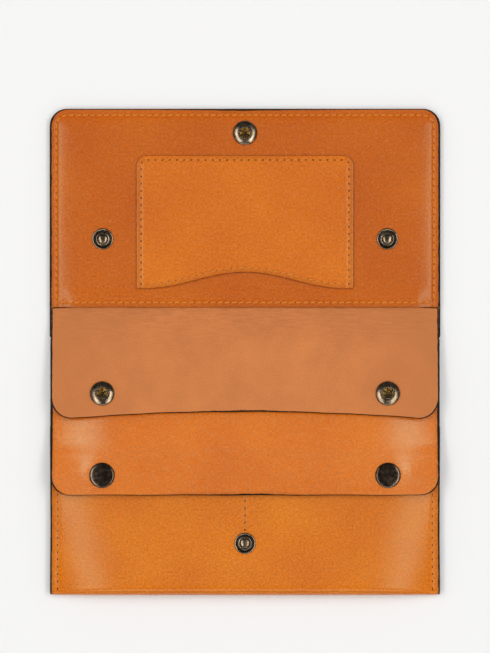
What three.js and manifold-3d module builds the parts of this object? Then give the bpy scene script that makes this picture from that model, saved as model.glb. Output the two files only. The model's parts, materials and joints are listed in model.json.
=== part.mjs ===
// A long wallet of stitched leather, lying open on its back. Millimetres, +Z up, +Y from the spine
// towards the far edge of the cover.
// The origin is the middle of the spine, on the plane that the back of the pouch lies on.
// The pouch is on the -Y side and the cover is on the +Y side. Two flaps fold down over the pouch.
import * as THREE from "three";
import { mergeVertices } from "three/addons/utils/BufferGeometryUtils.js";
import Module from "manifold-3d";

const { lerp, smoothstep } = THREE.MathUtils;
const wasm = await Module();
wasm.setup();

// Leather and thread
const OUTER_LEATHER = 1.5;
const LINING_LEATHER = 1.3;
const FLAP_LEATHER = 1.4;
const PATCH_LEATHER = 1.2;
const SLIP_LEATHER = 0.8;
const TAB_LEATHER = 0.8;
const STIFFENER = 0.9;
const THREAD_WIDTH = 0.8;
const THREAD_HEIGHT = 0.4;
const GAP = 0.05;

// Spine: the outer leather creases along two lines, and each plate ends a little short of its crease
const CREASE = 11;
const CREASE_MARGIN = 1.1;

// Cover
const COVER_HALF_WIDTH = 97.6;
const COVER_TOP = 114.3;
const COVER_RADIUS = 8.3;
const COVER_SEAM = 3.3;
const COVER_SOCKET_Y = 102.07;
const LINING_LOW = 15;
const LINING_RIM = 4.5;
const LINING_CROWN = 10;
const LINING_RIDGE_END = 20.5;
const LINING_RIDGE_FOOT = 24;
const LINING_SEAM_Y = 17.5;
const STIFFENER_INSET = 10;

// Card patch on the lining
const PATCH_HALF_WIDTH = 54.2;
const PATCH_LOW = 24.3;
const PATCH_TOP = 90.9;
const PATCH_RADIUS = 5;
const PATCH_SEAM = 2.4;
const MOUTH_RISE = 8.2;
const MOUTH_HALF_WIDTH = 50;

// Snap fasteners
const SNAP_X = 71;
const SNAP_GAP = 2.6;
const CAP_RADIUS = 6.3;
const CAP_HEIGHT = 1;
const SOCKET_RADIUS = 6;
const SOCKET_HEIGHT = 2.1;
const SOCKET_MOUTH = 2.65;
const STUD_RADIUS = 5.3;
const STUD_HEIGHT = 2.05;
const STUD_HEAD = 2.4;
const POST_RADIUS = 1.05;
const BARREL_RADIUS = 1.5;
const EYELET_RADIUS = 4.5;
const EYELET_FLANGE = 0.5;
const SPRING_RADIUS = 3.1;
const SPRING_WIRE = 0.3;
const ROUND = 16;

// Card flap: hinged at the foot of the lining. It folds flat onto the cover, and rests turned away from it
const CARD_HINGE = new THREE.Vector2(10.6, 4.77);
const CARD_REST_TURN = THREE.MathUtils.degToRad(170.9);
const CARD_FLAP_HALF_WIDTH = 96.7;
const CARD_FLAP_LENGTH = 47.83;
const CARD_FLAP_CORNER_DROP = 3.24;
const CARD_FLAP_CORNER_X = 84;
const CARD_FLAP_RADIUS = 10.5;
const CARD_SNAP_REACH = 38.6;
const CARD_BEND_LOW = -1.4;
const CARD_BEND_HIGH = 3;
const CARD_FLAP_START = 3.3;
const CARD_TAB_HALF_WIDTH = 87;
const CARD_TAB_LOW = 12.4;
const CARD_TAB_HIGH = 19.5;

// Pouch flap: hinged to the back of the pouch, snapped down on its front
const FLAP_HINGE_Y = -15.5;
const FLAP_START = -17.5;
const FLAP_ROOT_Z = 3.85;
const FLAP_TOP_Z = 11;
const FLAP_LEVEL_Y = -58.4;
const FLAP_RISE_POWER = 1.2;
const FLAP_EDGE = -78.4;
const FLAP_HALF_WIDTH = 96.7;
const FLAP_RADIUS = 8.8;
const FLAP_SNAP_Y = -68.4;
const FLAP_TAB_FAR = -22.5;
const FLAP_TAB_NEAR = -16.2;
const FLAP_SEAM_Y = -19.5;

// Pouch: one sheet that runs down the back, round the bottom fold and up the front
const POUCH_HALF_WIDTH = 97.3;
const POUCH_BOTTOM = -128.4;
const POUCH_DEPTH = 10;
const POUCH_MOUTH = -44;
const FRONT_STUD_Y = -102.3;
const FRONT_MOUTH_Z = 6.6;
const FRONT_SNAP_Z = FLAP_TOP_Z - FLAP_LEATHER - SNAP_GAP;
const FRONT_STUD_Z = 8.8;
const SEAT = 10;
const RIM_X = 90;
const FULL_X = 78;
const CORNER_X = 92.3;
const CORNER_TUCK = 1.7;
const SIDE_SEAM_X = 93.5;
const SIDE_SEAM_LOW = -125.6;
const SEAM_HIGH = -45.5;
const CENTER_SEAM_LOW = -96;
const SLIP_DROP = 0.9;

// Heights of the stacked layers in the cover, all flat
const STIFFENER_Z = OUTER_LEATHER + GAP;
const LINING_RIM_Z = OUTER_LEATHER + GAP;
const LINING_Z = STIFFENER_Z + STIFFENER + GAP;
const CARD_TAB_Z = 1.74;
const LINING_RIDGE_Z = CARD_TAB_Z + FLAP_LEATHER + 0.06;
const LINING_TOP = LINING_Z + LINING_LEATHER;
const PATCH_Z = LINING_TOP + GAP;
const PATCH_TOP_Z = PATCH_Z + PATCH_LEATHER;
const FOLDED_FLESH_Z = LINING_TOP + SNAP_GAP;
const COVER_STUD_Y = CARD_HINGE.x + CARD_SNAP_REACH;

const MATERIALS = {
  grain: { color: 0xdb7b2a, roughness: 0.42, metalness: 0 },
  lining: { color: 0xc7621c, roughness: 0.4, metalness: 0 },
  patch: { color: 0xd67321, roughness: 0.4, metalness: 0 },
  flesh: { color: 0xcc7e46, roughness: 0.8, metalness: 0 },
  board: { color: 0x8a7a64, roughness: 0.9, metalness: 0 },
  thread: { color: 0xc89a5c, roughness: 0.7, metalness: 0 },
  bronze: { color: 0x54463c, roughness: 0.38, metalness: 0.9 },
  brass: { color: 0xbe8c28, roughness: 0.35, metalness: 0.9 },
};

const wallet = new THREE.Group();

function addPiece(name, geometry, finish, parent = wallet) {
  const mesh = new THREE.Mesh(geometry, new THREE.MeshStandardMaterial(MATERIALS[finish]));
  mesh.name = name;
  parent.add(mesh);
  return mesh;
}

function solidFrom(geometry) {
  const bare = geometry.clone();
  bare.deleteAttribute("normal");
  bare.deleteAttribute("uv");
  const merged = mergeVertices(bare);
  const vertProperties = merged.attributes.position.array;
  const triVerts = new Uint32Array(merged.index.array);
  return new wasm.Manifold(new wasm.Mesh({ numProp: 3, vertProperties, triVerts }));
}

function geometryFrom(solid) {
  const mesh = solid.getMesh();
  const geometry = new THREE.BufferGeometry();
  geometry.setAttribute("position", new THREE.BufferAttribute(mesh.vertProperties, 3));
  geometry.setIndex(new THREE.BufferAttribute(mesh.triVerts, 1));
  geometry.computeVertexNormals();
  return geometry;
}

// Punches round holes, each { x, y, z, radius }, upright and centred on height z, through a sheet.
function punch(geometry, holes) {
  let solid = solidFrom(geometry);
  for (const { x, y, z, radius } of holes) {
    const bit = new THREE.CylinderGeometry(radius, radius, 2 * OUTER_LEATHER, ROUND);
    bit.rotateX(Math.PI / 2);
    bit.translate(x, y, z);
    solid = solid.subtract(solidFrom(bit));
  }
  return geometryFrom(solid);
}

// A sheet made from a grid: place(column, row, offset) gives each point, and the offset runs across
// the thickness from minus half to plus half of it.
function sheet(columns, rows, thickness, place) {
  const across = columns.length - 1;
  const along = rows.length - 1;
  const geometry = new THREE.BoxGeometry(1, 1, 1, across, along, 1);
  const position = geometry.attributes.position;
  for (let i = 0; i < position.count; i++) {
    const column = columns[Math.round((position.getX(i) + 0.5) * across)];
    const row = rows[Math.round((position.getY(i) + 0.5) * along)];
    position.setXYZ(i, ...place(column, row, position.getZ(i) * thickness));
  }
  return geometry;
}

function mirrored(columns) {
  const left = columns.filter((x) => x > 0).map((x) => -x);
  return [...left.reverse(), ...columns];
}

function evenly(from, to, steps) {
  return Array.from({ length: steps + 1 }, (_, i) => lerp(from, to, i / steps));
}

// Rows of a sheet from its rounded edge at `edge` to the end of the corner arcs.
function cornerRows(edge, radius, inward) {
  return [0, 1, 2, 3, 4].map((i) => edge + inward * radius * (1 - Math.cos((i * Math.PI) / 8)));
}

// How far a rounded corner draws the side in, at a given distance from the end edge.
function cornerInset(fromEdge, radius) {
  const short = Math.max(radius - fromEdge, 0);
  return radius - Math.sqrt(radius * radius - short * short);
}

// An outline with square lower corners and rounded upper ones.
function panelOutline(halfWidth, low, high, radius) {
  const outline = new THREE.Shape();
  outline.moveTo(-halfWidth, low);
  outline.lineTo(halfWidth, low);
  outline.absarc(halfWidth - radius, high - radius, radius, 0, Math.PI / 2);
  outline.absarc(radius - halfWidth, high - radius, radius, Math.PI / 2, Math.PI);
  return outline;
}

// The strip of a seam that runs up one side, across the top and down the other, centred on its line.
function seamOutline(halfWidth, low, high, radius) {
  const outline = new THREE.Shape();
  const out = THREAD_WIDTH / 2;
  const x = halfWidth - radius;
  const y = high - radius;
  outline.moveTo(halfWidth + out, low);
  outline.absarc(x, y, radius + out, 0, Math.PI / 2);
  outline.absarc(-x, y, radius + out, Math.PI / 2, Math.PI);
  outline.lineTo(-halfWidth - out, low);
  outline.lineTo(out - halfWidth, low);
  outline.absarc(-x, y, radius - out, Math.PI, Math.PI / 2, true);
  outline.absarc(x, y, radius - out, Math.PI / 2, 0, true);
  outline.lineTo(halfWidth - out, low);
  return outline;
}

function plate(outline, low, thickness) {
  const options = { depth: thickness, bevelEnabled: false, curveSegments: 5 };
  return new THREE.ExtrudeGeometry(outline, options).translate(0, 0, low);
}

function addHole(outline, x, y, radius) {
  const hole = new THREE.Path();
  for (let i = 0; i < ROUND; i++) {
    const turn = (-2 * Math.PI * i) / ROUND;
    const point = [x + radius * Math.cos(turn), y + radius * Math.sin(turn)];
    if (i === 0) hole.moveTo(...point);
    else hole.lineTo(...point);
  }
  outline.holes.push(hole);
}

// Turned pieces. Each profile is a list of [radius, height] from the foot of the axis to its head.
function turned(profile, segments = ROUND) {
  const points = profile.map(([radius, height]) => new THREE.Vector2(radius, height));
  return new THREE.LatheGeometry(points, segments).rotateX(Math.PI / 2);
}

// Domed cap with the post that goes through the leather and is riveted into the socket.
function capGeometry(leather) {
  const tip = -leather - 0.35;
  const edge = CAP_RADIUS - 0.25;
  return turned([
    [0, tip],
    [POST_RADIUS, tip],
    [POST_RADIUS, GAP],
    [edge, GAP],
    [CAP_RADIUS, 0.3],
    [edge, 0.6],
    [0.7 * CAP_RADIUS, 0.85 * CAP_HEIGHT],
    [0, CAP_HEIGHT],
  ]);
}

// Female half: a dished ring with a hollow that holds the spring and takes the stud's head.
function socketGeometry() {
  const bore = POST_RADIUS + 0.15;
  const points = [
    [bore, GAP],
    [SOCKET_RADIUS, GAP],
    [SOCKET_RADIUS, 0.5],
    [SOCKET_RADIUS - 0.8, 1],
    [SOCKET_RADIUS - 1.8, 1.4],
    [SOCKET_RADIUS - 2, SOCKET_HEIGHT],
    [SOCKET_MOUTH, SOCKET_HEIGHT],
    [SOCKET_MOUTH, SOCKET_HEIGHT - 0.5],
    [SPRING_RADIUS + 0.5, SOCKET_HEIGHT - 0.7],
    [SPRING_RADIUS + 0.5, 0.4],
    [bore, 0.35],
    [bore, GAP],
  ];
  return turned(points);
}

// Male half: a dished flange with a round head, hollow below for the barrel of the eyelet.
function studGeometry() {
  return turned([
    [0, 0.9],
    [BARREL_RADIUS + 0.3, 0.9],
    [BARREL_RADIUS + 0.3, GAP],
    [STUD_RADIUS, GAP],
    [STUD_RADIUS, 0.5],
    [STUD_RADIUS - 0.4, 0.75],
    [STUD_RADIUS - 0.9, 0.35],
    [STUD_HEAD + 0.3, 0.4],
    [STUD_HEAD - 0.25, 0.9],
    [STUD_HEAD, 1.45],
    [0.7 * STUD_HEAD, STUD_HEIGHT - 0.1],
    [0, STUD_HEIGHT],
  ]);
}

// Flat flange behind the leather, with the barrel that goes up through it into the stud.
function eyeletGeometry(leather) {
  return turned([
    [0, -GAP - EYELET_FLANGE],
    [EYELET_RADIUS, -GAP - EYELET_FLANGE],
    [EYELET_RADIUS, -GAP],
    [BARREL_RADIUS, -GAP],
    [BARREL_RADIUS, leather + 0.75],
    [0, leather + 0.75],
  ]);
}

// Spring wire in the socket: an open ring.
function springGeometry() {
  const ring = new THREE.Shape();
  ring.absarc(0, 0, SPRING_WIRE, 0, 2 * Math.PI);
  const arc = new THREE.EllipseCurve(0, 0, SPRING_RADIUS, SPRING_RADIUS, 0.2, 2 * Math.PI - 0.2);
  const line = arc.getPoints(ROUND).map((point) => new THREE.Vector3(point.x, point.y, 0));
  const extrudePath = new THREE.CatmullRomCurve3(line);
  return new THREE.ExtrudeGeometry(ring, { steps: ROUND, extrudePath, curveSegments: 3 });
}

const FACE_UP = 0;
const FACE_DOWN = Math.PI;

function addTurned(name, geometry, finish, x, y, z, facing, parent) {
  const mesh = addPiece(name, geometry, finish, parent);
  mesh.position.set(x, y, z);
  mesh.rotation.x = facing;
}

// A cap on one face of the leather, and its socket and spring on the other. `out` is +1 where the cap
// faces up.
function addSocketSet(prefix, suffix, x, y, capZ, socketZ, out, parent) {
  const capFacing = out > 0 ? FACE_UP : FACE_DOWN;
  const socketFacing = out > 0 ? FACE_DOWN : FACE_UP;
  const leather = Math.abs(capZ - socketZ);
  const springZ = socketZ - out * 1;
  addTurned(`${prefix}_cap${suffix}`, capGeometry(leather), "bronze", x, y, capZ, capFacing, parent);
  addTurned(`${prefix}_socket${suffix}`, socketGeometry(), "bronze", x, y, socketZ, socketFacing, parent);
  addTurned(`${prefix}_spring${suffix}`, springGeometry(), "brass", x, y, springZ, socketFacing, parent);
}

// A stud on the upper face of the leather, and its eyelet behind.
function addStudSet(prefix, suffix, x, y, z, leather) {
  addTurned(`${prefix}_stud_${suffix}`, studGeometry(), "bronze", x, y, z, FACE_UP);
  addTurned(`${prefix}_eyelet_${suffix}`, eyeletGeometry(leather), "brass", x, y, z - leather, FACE_UP);
}

const POST_HOLE = POST_RADIUS + 0.3;
const BARREL_HOLE = BARREL_RADIUS + 0.25;
const SIDES = { left: -1, right: 1 };

// ---- Spine

function addSpine() {
  const length = 2 * (CREASE - CREASE_MARGIN);
  const panel = new THREE.BoxGeometry(2 * COVER_HALF_WIDTH, length, OUTER_LEATHER);
  addPiece("spine_panel", panel.translate(0, 0, OUTER_LEATHER / 2), "grain");
}

// ---- Pouch

// How full the pouch stands: 1 in the middle, 0 along the sewn sides.
function fullness(x) {
  return 1 - smoothstep(Math.abs(x), FULL_X, RIM_X);
}

const FRONT_RIM_Z = 2 * OUTER_LEATHER + SLIP_LEATHER + 2 * GAP;

// Height of the front's outer face along the middle, level where a stud is set.
function frontMiddle(y) {
  const mouth = (FRONT_SNAP_Z - FRONT_MOUTH_Z) * smoothstep(-y, -POUCH_MOUTH, -FLAP_SNAP_Y - SEAT);
  const belly = (FRONT_STUD_Z - FRONT_SNAP_Z) * smoothstep(-y, -FLAP_SNAP_Y + SEAT, -FRONT_STUD_Y - SEAT);
  const fold = (POUCH_DEPTH - FRONT_STUD_Z) * smoothstep(-y, -FRONT_STUD_Y + SEAT, -POUCH_BOTTOM - 5);
  return FRONT_MOUTH_Z + mouth + belly + fold;
}

function frontTop(x, y) {
  return lerp(FRONT_RIM_Z, frontMiddle(y), fullness(x));
}

const POUCH_COLUMNS = mirrored([0, 30, 60, FULL_X, 84, RIM_X, 93.9, POUCH_HALF_WIDTH]);
const FRONT_ROWS = [
  -118,
  FRONT_STUD_Y - SEAT,
  FRONT_STUD_Y,
  CENTER_SEAM_LOW,
  FRONT_STUD_Y + SEAT,
  ...evenly(-87.5, -83, 1),
  FLAP_SNAP_Y - SEAT,
  FLAP_SNAP_Y,
  FLAP_SNAP_Y + SEAT,
  -51,
  SEAM_HIGH,
];

function pouchCorner(x) {
  return CORNER_TUCK * (Math.max(Math.abs(x) - CORNER_X, 0) / (POUCH_HALF_WIDTH - CORNER_X)) ** 2;
}

// The pouch's rows: the back by distance, the fold by angle, the front by distance.
const BACK_ROWS = evenly(0, 1, 3).map((t) => ({ part: "back", t }));
const FOLD_ROWS = evenly(0, Math.PI, 6).slice(1).map((turn) => ({ part: "fold", turn }));
const FACE_ROWS = [...FRONT_ROWS, POUCH_MOUTH].map((y) => ({ part: "front", y }));

function pouchPoint(x, row, offset) {
  const middle = OUTER_LEATHER / 2;
  const foldTop = lerp(FRONT_RIM_Z, POUCH_DEPTH, fullness(x)) - middle;
  const radius = (foldTop - middle) / 2;
  const foldY = POUCH_BOTTOM + pouchCorner(x) + radius + middle;
  if (row.part === "back") {
    return [x, lerp(-CREASE - CREASE_MARGIN, foldY, row.t), middle - offset];
  }
  if (row.part === "fold") {
    const reach = radius + offset;
    return [x, foldY - reach * Math.sin(row.turn), middle + radius - reach * Math.cos(row.turn)];
  }
  return [x, row.y, frontTop(x, row.y) - middle + offset];
}

function addPouch() {
  const rows = [...BACK_ROWS, ...FOLD_ROWS, ...FACE_ROWS];
  const shell = sheet(POUCH_COLUMNS, rows, OUTER_LEATHER, pouchPoint);
  const frontHoles = [
    { x: -SNAP_X, y: FLAP_SNAP_Y, z: FRONT_SNAP_Z - OUTER_LEATHER / 2, radius: BARREL_HOLE },
    { x: SNAP_X, y: FLAP_SNAP_Y, z: FRONT_SNAP_Z - OUTER_LEATHER / 2, radius: BARREL_HOLE },
    { x: 0, y: FRONT_STUD_Y, z: FRONT_STUD_Z - OUTER_LEATHER / 2, radius: BARREL_HOLE },
  ];
  addPiece("pouch_shell", punch(shell, frontHoles), "grain");

  // The slip behind the front hangs a little below it and is caught in the side seams.
  const slipColumns = POUCH_COLUMNS.slice(1, -1);
  const slipRows = FRONT_ROWS.filter((y) => y >= CENTER_SEAM_LOW);
  const rimZ = OUTER_LEATHER + GAP + SLIP_LEATHER / 2;
  const slip = sheet(slipColumns, slipRows, SLIP_LEATHER, (x, y, offset) => {
    const middleZ = frontMiddle(y) - OUTER_LEATHER - SLIP_DROP - SLIP_LEATHER / 2;
    return [x, y, lerp(rimZ, middleZ, fullness(x)) + offset];
  });
  addPiece("card_slip", slip, "flesh");

  for (const [side, sign] of Object.entries(SIDES)) {
    addStudSet("front", side, sign * SNAP_X, FLAP_SNAP_Y, FRONT_SNAP_Z, OUTER_LEATHER);
    const seam = new THREE.BoxGeometry(THREAD_WIDTH, SEAM_HIGH - SIDE_SEAM_LOW, THREAD_HEIGHT);
    const seamY = (SEAM_HIGH + SIDE_SEAM_LOW) / 2;
    seam.translate(sign * SIDE_SEAM_X, seamY, FRONT_RIM_Z + GAP + THREAD_HEIGHT / 2);
    addPiece(`side_thread_${side}`, seam, "thread");
  }
  addStudSet("front", "center", 0, FRONT_STUD_Y, FRONT_STUD_Z, OUTER_LEATHER);
  const seamRows = FRONT_ROWS.filter((y) => y >= CENTER_SEAM_LOW);
  const centerSeam = sheet([-THREAD_WIDTH / 2, THREAD_WIDTH / 2], seamRows, THREAD_HEIGHT, (x, y, offset) => {
    return [x, y, frontMiddle(y) + GAP + THREAD_HEIGHT / 2 + offset];
  });
  addPiece("center_thread", centerSeam, "thread");

  const tab = new THREE.BoxGeometry(2 * FLAP_HALF_WIDTH, FLAP_TAB_NEAR - FLAP_TAB_FAR, TAB_LEATHER);
  const tabY = (FLAP_TAB_NEAR + FLAP_TAB_FAR) / 2;
  const tabTop = OUTER_LEATHER + GAP + TAB_LEATHER;
  addPiece("pouch_flap_tab", tab.translate(0, tabY, tabTop - TAB_LEATHER / 2), "flesh");
  const tabSeam = new THREE.BoxGeometry(2 * SIDE_SEAM_X, THREAD_WIDTH, THREAD_HEIGHT);
  tabSeam.translate(0, FLAP_SEAM_Y, tabTop + GAP + THREAD_HEIGHT / 2);
  addPiece("pouch_flap_thread", tabSeam, "thread");
}

// ---- Pouch flap

function flapTop(y) {
  const left = Math.max((y - FLAP_LEVEL_Y) / (FLAP_HINGE_Y - FLAP_LEVEL_Y), 0);
  return FLAP_TOP_Z - (FLAP_TOP_Z - FLAP_ROOT_Z) * left ** FLAP_RISE_POWER;
}

function addPouchFlap() {
  const columns = evenly(-1, 1, 8);
  const rise = [FLAP_LEVEL_Y, -54, -50, -44, -36, -27, FLAP_START];
  const rows = [...cornerRows(FLAP_EDGE, FLAP_RADIUS, 1), ...rise];
  const flap = sheet(columns, rows, FLAP_LEATHER, (across, y, offset) => {
    const halfWidth = FLAP_HALF_WIDTH - cornerInset(y - FLAP_EDGE, FLAP_RADIUS);
    return [across * halfWidth, y, flapTop(y) - FLAP_LEATHER / 2 + offset];
  });
  const z = FLAP_TOP_Z - FLAP_LEATHER / 2;
  const holes = [-SNAP_X, SNAP_X].map((x) => ({ x, y: FLAP_SNAP_Y, z, radius: POST_HOLE }));
  addPiece("pouch_flap", punch(flap, holes), "grain");
  for (const [side, sign] of Object.entries(SIDES)) {
    const socketZ = FLAP_TOP_Z - FLAP_LEATHER;
    addSocketSet("pouch_flap", `_${side}`, sign * SNAP_X, FLAP_SNAP_Y, FLAP_TOP_Z, socketZ, 1, wallet);
  }
}

// ---- Cover

// Underside of the lining: pressed down along the sewn edges, raised over the board and over the flap's tab.
function liningUnderside(x, y) {
  const fromEdge = Math.min(COVER_HALF_WIDTH - Math.abs(x), COVER_TOP - y);
  const crown = smoothstep(fromEdge, LINING_RIM, LINING_CROWN);
  const ridge = 1 - smoothstep(y, LINING_RIDGE_END, LINING_RIDGE_FOOT);
  return lerp(LINING_RIM_Z, lerp(LINING_Z, LINING_RIDGE_Z, ridge), crown);
}

function addLining() {
  const insets = [0, LINING_RIM, 7, LINING_CROWN];
  const columns = mirrored([0, 0.4, 0.8, ...insets.reverse().map((inset) => 1 + inset)]);
  const high = [...cornerRows(COVER_TOP, COVER_RADIUS, -1), COVER_TOP - LINING_CROWN].reverse();
  const rows = [LINING_LOW, LINING_RIDGE_END, LINING_RIDGE_FOOT, 50, 80, ...high];
  const lining = sheet(columns, rows, LINING_LEATHER, (column, y, offset) => {
    const halfWidth = COVER_HALF_WIDTH - cornerInset(COVER_TOP - y, COVER_RADIUS);
    const size = Math.abs(column);
    const distance = size < 1 ? size * (halfWidth - LINING_CROWN) : halfWidth - (size - 1);
    const x = Math.sign(column) * distance;
    return [x, y, liningUnderside(x, y) + LINING_LEATHER / 2 + offset];
  });
  const z = LINING_Z + LINING_LEATHER / 2;
  const holes = [
    { x: -SNAP_X, y: COVER_STUD_Y, z, radius: BARREL_HOLE },
    { x: SNAP_X, y: COVER_STUD_Y, z, radius: BARREL_HOLE },
    { x: 0, y: COVER_SOCKET_Y, z, radius: POST_HOLE },
  ];
  addPiece("cover_lining", punch(lining, holes), "lining");
}

function addCover() {
  const low = CREASE + CREASE_MARGIN;
  const panel = panelOutline(COVER_HALF_WIDTH, low, COVER_TOP, COVER_RADIUS);
  addHole(panel, 0, COVER_SOCKET_Y, POST_HOLE);
  addPiece("cover_panel", plate(panel, 0, OUTER_LEATHER), "grain");

  const boardHalf = COVER_HALF_WIDTH - STIFFENER_INSET;
  const boardLow = LINING_RIDGE_FOOT;
  const board = panelOutline(boardHalf, boardLow, COVER_TOP - STIFFENER_INSET, 2);
  addHole(board, -SNAP_X, COVER_STUD_Y, EYELET_RADIUS + 0.5);
  addHole(board, SNAP_X, COVER_STUD_Y, EYELET_RADIUS + 0.5);
  addHole(board, 0, COVER_SOCKET_Y, POST_HOLE);
  addPiece("cover_stiffener", plate(board, STIFFENER_Z, STIFFENER), "board");

  addLining();
  addPatch();

  const tab = new THREE.BoxGeometry(2 * CARD_TAB_HALF_WIDTH, CARD_TAB_HIGH - CARD_TAB_LOW, FLAP_LEATHER);
  const tabY = (CARD_TAB_LOW + CARD_TAB_HIGH) / 2;
  addPiece("card_flap_tab", tab.translate(0, tabY, CARD_TAB_Z + FLAP_LEATHER / 2), "flesh");

  const seamHalf = COVER_HALF_WIDTH - COVER_SEAM;
  const edgeSeam = seamOutline(seamHalf, LINING_LOW, COVER_TOP - COVER_SEAM, COVER_RADIUS - COVER_SEAM);
  const rimTop = LINING_RIM_Z + LINING_LEATHER;
  addPiece("cover_edge_thread", plate(edgeSeam, rimTop + GAP, THREAD_HEIGHT), "thread");
  const footSeam = new THREE.BoxGeometry(2 * (COVER_HALF_WIDTH - LINING_CROWN), THREAD_WIDTH, THREAD_HEIGHT);
  const footZ = LINING_RIDGE_Z + LINING_LEATHER + GAP + THREAD_HEIGHT / 2;
  addPiece("lining_foot_thread", footSeam.translate(0, LINING_SEAM_Y, footZ), "thread");

  for (const [side, sign] of Object.entries(SIDES)) {
    addStudSet("cover", side, sign * SNAP_X, COVER_STUD_Y, LINING_TOP, LINING_LEATHER);
  }
  addSocketSet("cover", "", 0, COVER_SOCKET_Y, 0, LINING_TOP, -1, wallet);
}

// ---- Card patch

// The patch is open along its lower edge, which rises in a smooth wave in the middle.
function mouthEdge(x) {
  const phase = Math.min(Math.abs(x) / MOUTH_HALF_WIDTH, 1) * Math.PI;
  return PATCH_LOW + (MOUTH_RISE * (1 + Math.cos(phase))) / 2;
}

function addPatch() {
  const steps = 20;
  const outline = new THREE.Shape();
  outline.moveTo(-PATCH_HALF_WIDTH, PATCH_LOW);
  for (const x of evenly(-MOUTH_HALF_WIDTH, MOUTH_HALF_WIDTH, steps)) outline.lineTo(x, mouthEdge(x));
  outline.lineTo(PATCH_HALF_WIDTH, PATCH_LOW);
  const cornerX = PATCH_HALF_WIDTH - PATCH_RADIUS;
  outline.absarc(cornerX, PATCH_TOP - PATCH_RADIUS, PATCH_RADIUS, 0, Math.PI / 2);
  outline.absarc(-cornerX, PATCH_TOP - PATCH_RADIUS, PATCH_RADIUS, Math.PI / 2, Math.PI);
  addPiece("card_patch", plate(outline, PATCH_Z, PATCH_LEATHER), "patch");

  const seamX = PATCH_HALF_WIDTH - PATCH_SEAM;
  const low = PATCH_LOW + THREAD_WIDTH;
  const sewn = seamOutline(seamX, low, PATCH_TOP - PATCH_SEAM, PATCH_RADIUS - PATCH_SEAM);
  addPiece("patch_thread", plate(sewn, PATCH_TOP_Z + GAP, THREAD_HEIGHT), "thread");
  const columns = evenly(THREAD_WIDTH - seamX, seamX - THREAD_WIDTH, steps);
  const rows = [-THREAD_WIDTH / 2, THREAD_WIDTH / 2];
  const line = sheet(columns, rows, THREAD_HEIGHT, (x, aside, offset) => {
    return [x, mouthEdge(x) + PATCH_SEAM + aside, PATCH_TOP_Z + GAP + THREAD_HEIGHT / 2 + offset];
  });
  addPiece("patch_mouth_thread", line, "thread");
}

// ---- Card flap, drawn folded onto the cover and then turned to rest about its hinge

function cardFlapEdge(x) {
  return CARD_FLAP_LENGTH + CARD_FLAP_CORNER_DROP * (x / CARD_FLAP_CORNER_X) ** 2;
}

function addCardFlap() {
  const turning = new THREE.Group();
  turning.position.set(0, CARD_HINGE.x, CARD_HINGE.y);
  turning.rotation.x = CARD_REST_TURN;
  wallet.add(turning);

  const low = FOLDED_FLESH_Z - CARD_HINGE.y;
  const bend = new THREE.BoxGeometry(2 * CARD_FLAP_HALF_WIDTH, CARD_BEND_HIGH - CARD_BEND_LOW, FLAP_LEATHER);
  const bendY = (CARD_BEND_HIGH + CARD_BEND_LOW) / 2;
  addPiece("card_flap_bend", bend.translate(0, bendY, low + FLAP_LEATHER / 2), "flesh", turning);

  const corner = CARD_FLAP_HALF_WIDTH - CARD_FLAP_RADIUS;
  const outline = new THREE.Shape();
  outline.moveTo(-CARD_FLAP_HALF_WIDTH, CARD_FLAP_START);
  outline.lineTo(CARD_FLAP_HALF_WIDTH, CARD_FLAP_START);
  outline.absarc(corner, cardFlapEdge(corner) - CARD_FLAP_RADIUS, CARD_FLAP_RADIUS, 0, Math.PI / 2);
  for (const x of evenly(corner, -corner, 8).slice(1)) outline.lineTo(x, cardFlapEdge(x));
  outline.absarc(-corner, cardFlapEdge(corner) - CARD_FLAP_RADIUS, CARD_FLAP_RADIUS, Math.PI / 2, Math.PI);
  addHole(outline, -SNAP_X, CARD_SNAP_REACH, POST_HOLE);
  addHole(outline, SNAP_X, CARD_SNAP_REACH, POST_HOLE);
  addPiece("card_flap", plate(outline, low, FLAP_LEATHER), "flesh", turning);
  for (const [side, sign] of Object.entries(SIDES)) {
    const capZ = low + FLAP_LEATHER;
    addSocketSet("card_flap", `_${side}`, sign * SNAP_X, CARD_SNAP_REACH, capZ, low, 1, turning);
  }
}

addPouch();
addSpine();
addCover();
addCardFlap();
addPouchFlap();

export default wallet;
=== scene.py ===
# Looks of the long wallet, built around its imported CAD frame.
# Lengths are in millimetres until a mesh is made.
import json
import math

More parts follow.
